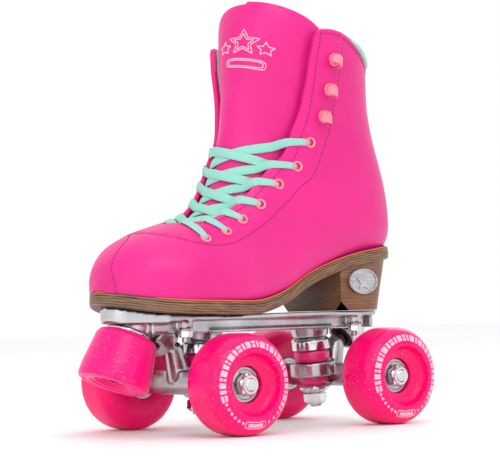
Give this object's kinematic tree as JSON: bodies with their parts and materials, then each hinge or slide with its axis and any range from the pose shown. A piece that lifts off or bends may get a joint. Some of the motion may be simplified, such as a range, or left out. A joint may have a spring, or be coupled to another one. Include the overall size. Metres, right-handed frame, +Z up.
{
  "type": "quad roller skate",
  "caption": "High lace-up boot on a laminated sole and stacked heel, bolted to a cast plate with two steering trucks, urethane wheels and a toe stop.",
  "frame": {"origin": "on the ground under the middle of the whole skate's bounding box", "axes": "+X towards the toe, +Y to the skate's left, +Z up from the ground that the wheels stand on"},
  "size_m": [0.241, 0.1484, 0.2754],
  "materials": {
    "boot_leather": "smooth hot-pink leather, satin",
    "tongue_leather": "smooth hot-pink padded leather, satin",
    "lining": "mint brushed lining and rolled collar",
    "lace": "flat woven mint lace",
    "footbed": "dark knitted footbed",
    "hook_enamel": "salmon-pink enamelled metal",
    "laminated_sole": "brown laminated sole with dark grain lines",
    "badge_metal": "plain cast nickel plaque",
    "cast_aluminium": "tumbled cast aluminium",
    "plated_steel": "bright zinc and chrome plated steel",
    "bearing_steel": "ground bearing steel",
    "wheel_urethane": "translucent hot-pink urethane with glitter",
    "stop_urethane": "translucent hot-pink urethane with glitter",
    "cushion_urethane": "pink urethane cushion",
    "cup_rubber": "black rubber"
  },
  "bodies": {
    "skate": {"boot_upper": "boot_leather", "collar_lining": "lining", "tongue": "tongue_leather", "insole": "footbed", "lace": "lace", "lace_hook_left_1": "hook_enamel", "lace_hook_right_1": "hook_enamel", "lace_hook_left_2": "hook_enamel", "lace_hook_right_2": "hook_enamel", "lace_hook_left_3": "hook_enamel", "lace_hook_right_3": "hook_enamel", "outsole": "laminated_sole", "heel_block": "laminated_sole", "heel_badge": "badge_metal", "plate": "cast_aluminium", "mounting_bolt_front_left": "plated_steel", "mounting_bolt_front_right": "plated_steel", "mounting_bolt_rear_left": "plated_steel", "mounting_bolt_rear_right": "plated_steel", "kingpin_front": "plated_steel", "upper_washer_front": "plated_steel", "upper_cushion_front": "cushion_urethane", "lower_cushion_front": "cushion_urethane", "lower_washer_front": "plated_steel", "kingpin_nut_front": "plated_steel", "pivot_cup_front": "cup_rubber", "kingpin_rear": "plated_steel", "upper_washer_rear": "plated_steel", "upper_cushion_rear": "cushion_urethane", "lower_cushion_rear": "cushion_urethane", "lower_washer_rear": "plated_steel", "kingpin_nut_rear": "plated_steel", "pivot_cup_rear": "cup_rubber"},
    "front_truck": {"hanger_front": "cast_aluminium", "axle_front": "plated_steel", "axle_nut_front_left": "plated_steel", "axle_nut_front_right": "plated_steel"},
    "rear_truck": {"hanger_rear": "cast_aluminium", "axle_rear": "plated_steel", "axle_nut_rear_left": "plated_steel", "axle_nut_rear_right": "plated_steel"},
    "toe_stop": {"toe_stop_pad": "stop_urethane", "toe_stop_stem": "plated_steel", "toe_stop_washer": "plated_steel"},
    "front_left_wheel": {"wheel_front_left": "wheel_urethane", "outer_bearing_front_left": "bearing_steel", "inner_bearing_front_left": "bearing_steel"},
    "front_right_wheel": {"wheel_front_right": "wheel_urethane", "outer_bearing_front_right": "bearing_steel", "inner_bearing_front_right": "bearing_steel"},
    "rear_left_wheel": {"wheel_rear_left": "wheel_urethane", "outer_bearing_rear_left": "bearing_steel", "inner_bearing_rear_left": "bearing_steel"},
    "rear_right_wheel": {"wheel_rear_right": "wheel_urethane", "outer_bearing_rear_right": "bearing_steel", "inner_bearing_rear_right": "bearing_steel"}
  },
  "joints": [
    {"name": "steering_front", "type": "hinge", "parent": "skate", "child": "front_truck", "pos_m": [0.03291, 0, 0.0355], "axis": [0.7859, 0, 0.6183], "range_deg": [-8, 8], "stiffness_Nm_per_rad": 15, "deforming": ["upper_cushion_front", "lower_cushion_front"]},
    {"name": "steering_rear", "type": "hinge", "parent": "skate", "child": "rear_truck", "pos_m": [-0.06089, 0, 0.0355], "axis": [-0.7859, 0, 0.6183], "range_deg": [-8, 8], "stiffness_Nm_per_rad": 15, "deforming": ["upper_cushion_rear", "lower_cushion_rear"]},
    {"name": "front_left_wheel_spin", "type": "hinge", "parent": "front_truck", "child": "front_left_wheel", "pos_m": [0.04786, 0.05735, 0.031], "axis": [0, 1, 0], "continuous": true},
    {"name": "front_right_wheel_spin", "type": "hinge", "parent": "front_truck", "child": "front_right_wheel", "pos_m": [0.04786, -0.05735, 0.031], "axis": [0, 1, 0], "continuous": true},
    {"name": "rear_left_wheel_spin", "type": "hinge", "parent": "rear_truck", "child": "rear_left_wheel", "pos_m": [-0.07584, 0.05735, 0.031], "axis": [0, 1, 0], "continuous": true},
    {"name": "rear_right_wheel_spin", "type": "hinge", "parent": "rear_truck", "child": "rear_right_wheel", "pos_m": [-0.07584, -0.05735, 0.031], "axis": [0, 1, 0], "continuous": true},
    {"name": "toe_stop_height", "type": "slide", "parent": "skate", "child": "toe_stop", "axis": [0.3891, 0, -0.9212], "range_m": [0, 0.008]}
  ]
}
